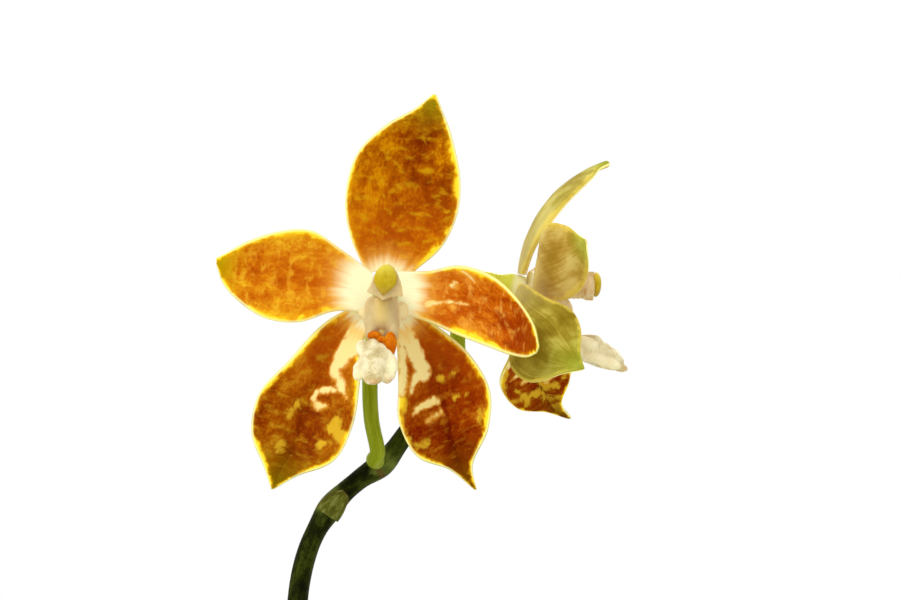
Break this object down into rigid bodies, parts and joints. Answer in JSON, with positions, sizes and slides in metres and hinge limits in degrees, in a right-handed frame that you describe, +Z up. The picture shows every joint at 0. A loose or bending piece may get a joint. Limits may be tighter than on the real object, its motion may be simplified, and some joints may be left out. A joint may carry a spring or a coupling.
{
  "type": "potted orchid plant",
  "caption": "Moth orchid of the fleshy-flowered kind in a plain clay pot, with mottled orange star-shaped flowers on one spike.",
  "frame": {"origin": "middle of the pot's flat base, on the surface that it stands on", "axes": "+Z up along the pot's axis, -Y the way that the first flower faces, +X the way that the second flower faces"},
  "size_m": [0.2486, 0.1041, 0.27],
  "materials": {
    "terracotta": "unglazed fired clay, matt with pale bloom",
    "bark": "rough chipped bark",
    "stem_crown": "fibrous green with pale rings",
    "root_velamen": "silvery, matt",
    "leaf_green": "leathery, waxy satin",
    "spike_green": "dark green, satin",
    "bract": "papery, matt",
    "pedicel_green": "light green, waxy",
    "petal_orange": "fleshy, waxy, orange brown mottled with yellow",
    "lip_cream": "fleshy, waxy cream",
    "callus_orange": "fleshy, glossy orange",
    "column_cream": "waxy cream, flushed pink",
    "anther_yellow": "waxy yellow green"
  },
  "bodies": {
    "root": {"pot": "terracotta", "potting_bark": "bark", "plant_stem": "stem_crown", "root_1": "root_velamen", "root_2": "root_velamen", "root_3": "root_velamen", "root_4": "root_velamen", "leaf_1": "leaf_green", "leaf_2": "leaf_green", "leaf_3": "leaf_green", "leaf_4": "leaf_green", "leaf_5": "leaf_green", "flower_spike": "spike_green", "spike_lower_bract": "bract", "spike_middle_bract": "bract", "spike_upper_bract": "bract", "flower_1_dorsal_sepal": "petal_orange", "flower_1_petal_left": "petal_orange", "flower_1_petal_right": "petal_orange", "flower_1_lateral_sepal_left": "petal_orange", "flower_1_lateral_sepal_right": "petal_orange", "flower_1_lip": "lip_cream", "flower_1_lip_callus": "callus_orange", "flower_1_column": "column_cream", "flower_1_anther_cap": "anther_yellow", "flower_1_pedicel": "pedicel_green", "flower_2_dorsal_sepal": "petal_orange", "flower_2_petal_left": "petal_orange", "flower_2_petal_right": "petal_orange", "flower_2_lateral_sepal_left": "petal_orange", "flower_2_lateral_sepal_right": "petal_orange", "flower_2_lip": "lip_cream", "flower_2_lip_callus": "callus_orange", "flower_2_column": "column_cream", "flower_2_anther_cap": "anther_yellow", "flower_2_pedicel": "pedicel_green"}
  },
  "joints": []
}
